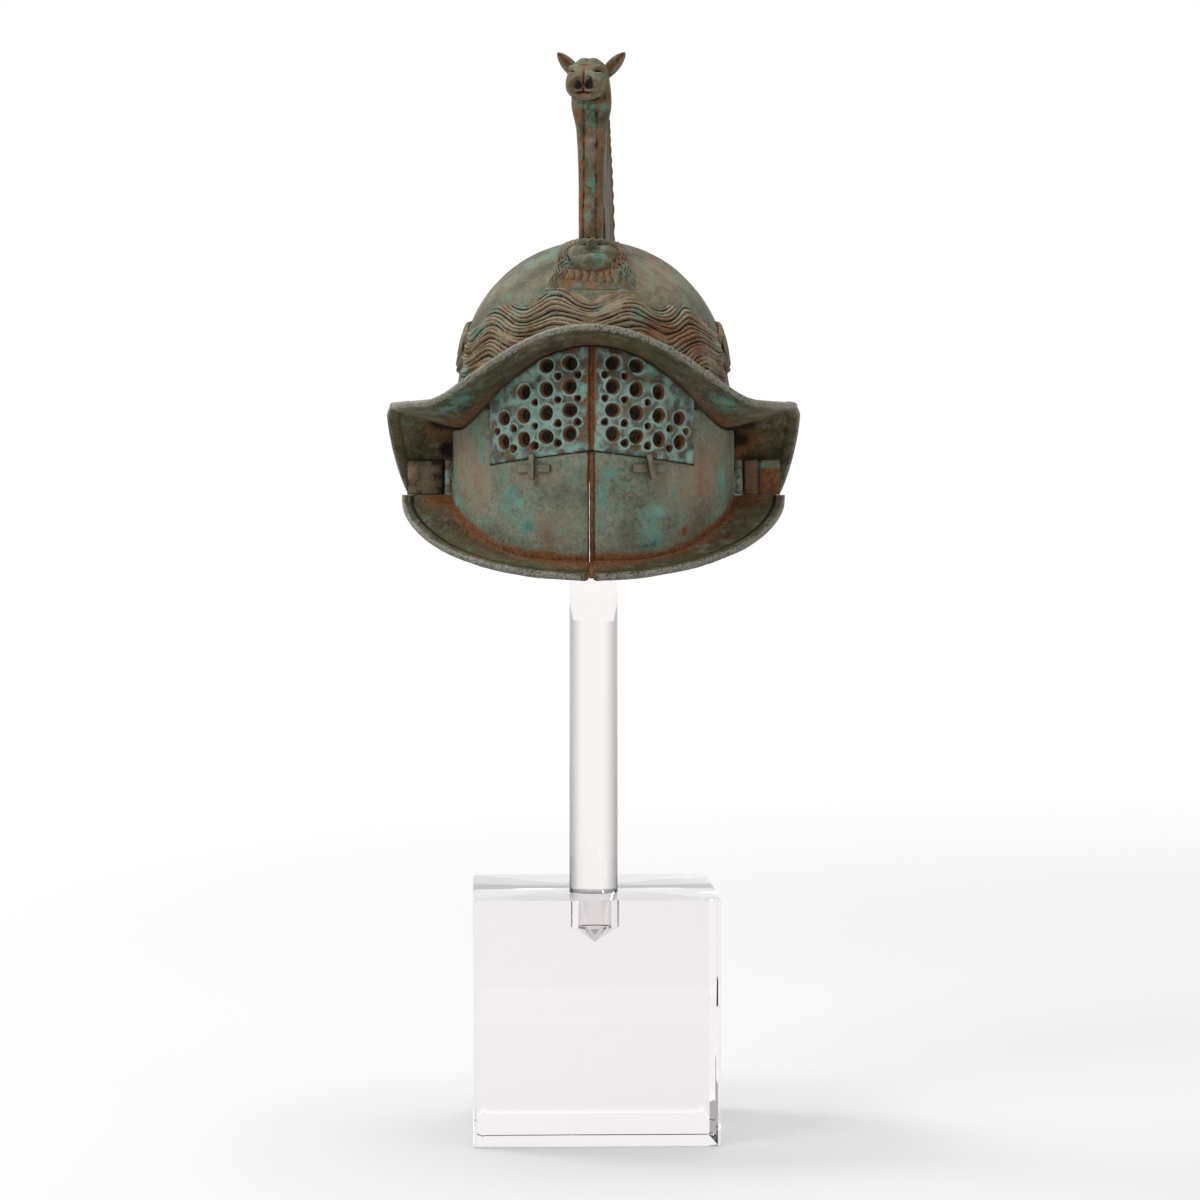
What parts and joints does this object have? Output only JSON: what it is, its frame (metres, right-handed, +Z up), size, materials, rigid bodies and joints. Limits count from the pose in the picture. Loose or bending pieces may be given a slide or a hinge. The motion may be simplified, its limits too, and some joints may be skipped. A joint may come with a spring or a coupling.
{
  "type": "gladiator helmet on a display stand",
  "caption": "Small cast bronze gladiator helmet with a two-leaf grilled visor, arched brim and horse-head crest, on a clear rod and block stand.",
  "frame": {"origin": "middle of the block's underside, on the rod's axis", "axes": "+Z up, -Y the way the face looks, +X the viewer's right"},
  "size_m": [0.1704, 0.1655, 0.4434],
  "materials": {
    "patinated_bronze": "olive and grey patina, matt, pale on worn rims",
    "verdigris_bronze": "verdigris patina, matt and chalky",
    "rusty_bronze": "red-brown and ochre patina, matt",
    "clear_acrylic": "clear, polished"
  },
  "bodies": {
    "helmet_and_stand": {"stand_block": "clear_acrylic", "stand_rod": "clear_acrylic", "crown": "patinated_bronze", "brim": "patinated_bronze", "hair_band": "rusty_bronze", "crest_mask": "verdigris_bronze", "crest_plate": "patinated_bronze", "crest_head": "patinated_bronze", "temple_ornament_left": "rusty_bronze", "eye_grille_left": "verdigris_bronze", "hinge_plate_left": "rusty_bronze", "hinge_pin_left": "patinated_bronze", "temple_ornament_right": "rusty_bronze", "eye_grille_right": "verdigris_bronze", "hinge_plate_right": "rusty_bronze", "hinge_pin_right": "patinated_bronze"},
    "visor_left": {"cheek_plate_left": "patinated_bronze", "lower_flange_left": "patinated_bronze", "catch_bar_left": "patinated_bronze", "catch_pin_left": "patinated_bronze"},
    "visor_right": {"cheek_plate_right": "patinated_bronze", "lower_flange_right": "patinated_bronze", "catch_bar_right": "patinated_bronze", "catch_pin_right": "patinated_bronze"}
  },
  "joints": [
    {"name": "visor_left_hinge", "type": "hinge", "parent": "helmet_and_stand", "child": "visor_left", "pos_m": [-0.0599, 0.0003, 0.27], "axis": [0, 0, -1], "range_deg": [0, 90]},
    {"name": "visor_right_hinge", "type": "hinge", "parent": "helmet_and_stand", "child": "visor_right", "pos_m": [0.0599, 0.0003, 0.27], "axis": [0, 0, 1], "range_deg": [0, 90]}
  ]
}
